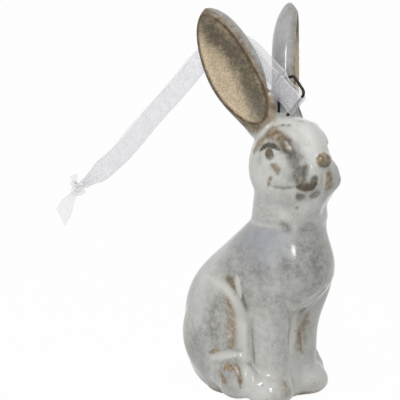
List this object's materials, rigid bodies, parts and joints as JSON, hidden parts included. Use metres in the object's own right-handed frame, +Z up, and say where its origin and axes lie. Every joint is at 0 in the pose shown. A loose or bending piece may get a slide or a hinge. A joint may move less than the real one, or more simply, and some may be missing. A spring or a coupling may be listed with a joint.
{
  "type": "hanging rabbit figurine",
  "caption": "Seated upright rabbit ornament in reactive glazed ceramic, with dished ears, a wire eyelet on the crown and a folded organza ribbon to hang it by.",
  "frame": {"origin": "on the standing plane, under the middle of the ceramic figure's box", "axes": "+Z up, the rabbit faces -Y, its left side is +X"},
  "size_m": [0.0394, 0.1125, 0.1087],
  "materials": {
    "glaze": "glossy reactive off-white glaze that breaks to brown",
    "black_wire": "black oxidised wire",
    "organza": "sheer white organza"
  },
  "bodies": {
    "figurine": {"torso_casting": "glaze", "head_casting": "glaze", "right_ear": "glaze", "left_ear": "glaze", "hanging_eyelet": "black_wire"},
    "ribbon": {"ribbon_fold": "organza", "ribbon_near_strand": "organza", "ribbon_far_strand": "organza", "ribbon_knot": "organza", "ribbon_long_tail": "organza", "ribbon_short_tail": "organza"}
  },
  "joints": [
    {"name": "ribbon_lift", "type": "hinge", "parent": "figurine", "child": "ribbon", "pos_m": [0, -0.01144, 0.08018], "axis": [1, 0, 0], "range_deg": [0, 15]}
  ]
}
